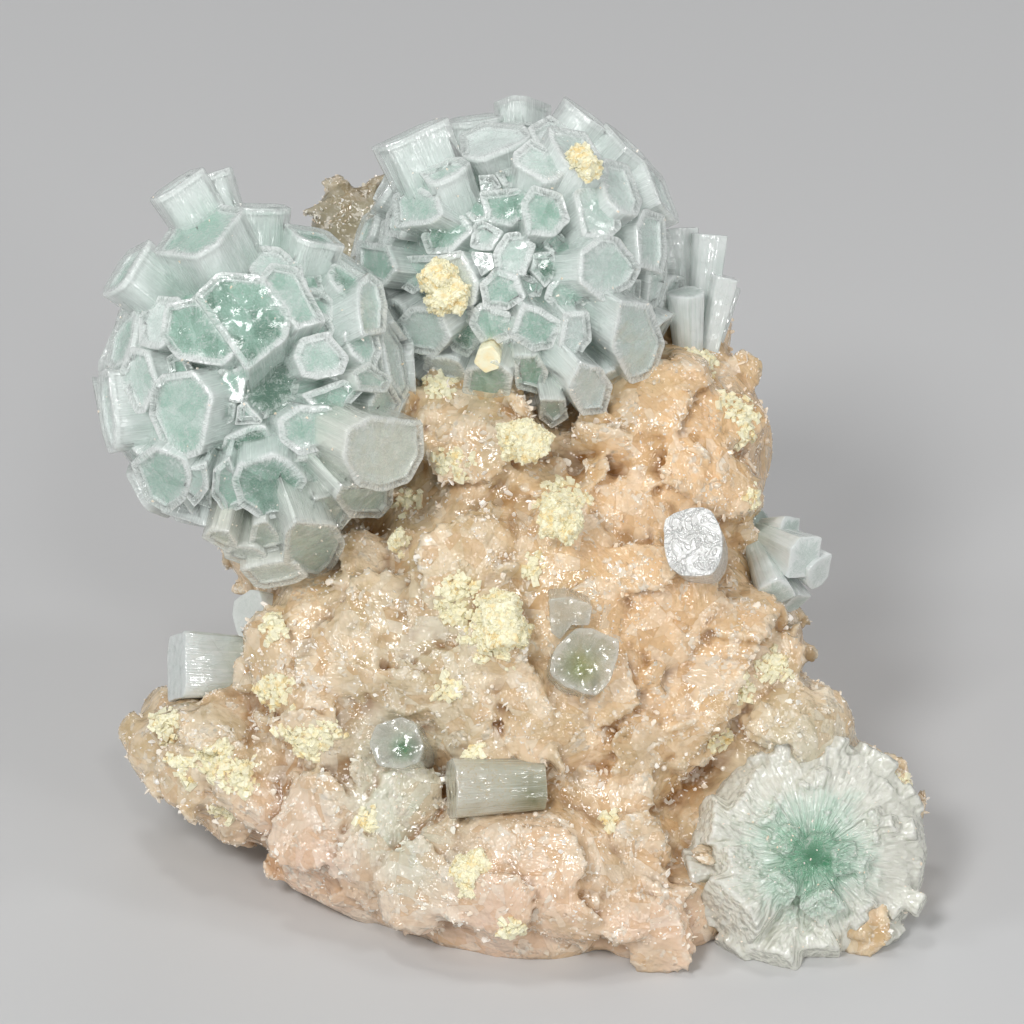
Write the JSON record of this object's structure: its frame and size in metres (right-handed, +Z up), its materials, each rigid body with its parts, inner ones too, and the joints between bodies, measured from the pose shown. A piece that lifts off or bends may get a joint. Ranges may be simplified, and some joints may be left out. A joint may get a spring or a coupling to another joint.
{
  "type": "apophyllite cluster",
  "caption": "Mineral cluster: balls of blocky green apophyllite crystals, a radiating fan and clear crystals on a heap of peach stilbite blades.",
  "frame": {"origin": "middle of the bounding box, on the level of the base that the specimen stands on", "axes": "+Z up from the base, -Y towards the viewer of the display face, +X to that viewer's right"},
  "size_m": [0.1042, 0.0873, 0.0921],
  "materials": {
    "stilbite": "pearly peach, vitreous on blade edges",
    "apophyllite_green": "translucent, pearly white rims over green",
    "apophyllite_clear": "translucent white, striated sides",
    "cream_druse": "sugary, sparkling"
  },
  "bodies": {
    "root": {"stilbite_matrix": "stilbite", "apophyllite_ball_left": "apophyllite_green", "apophyllite_ball_top": "apophyllite_green", "apophyllite_fan": "apophyllite_green", "apophyllite_spray": "apophyllite_clear", "apophyllite_columns": "apophyllite_clear", "apophyllite_block_left": "apophyllite_clear", "apophyllite_block_clear": "apophyllite_clear", "apophyllite_pair": "apophyllite_green", "apophyllite_prism_low": "apophyllite_clear", "apophyllite_prism_green_eye": "apophyllite_green", "heulandite_knob": "apophyllite_clear", "cream_druse_ball_large": "cream_druse", "cream_druse_ball_small": "cream_druse", "cream_grain": "cream_druse", "cream_druse_upper": "cream_druse", "cream_druse_middle": "cream_druse", "cream_druse_centre": "cream_druse", "cream_druse_foot": "cream_druse"}
  },
  "joints": []
}
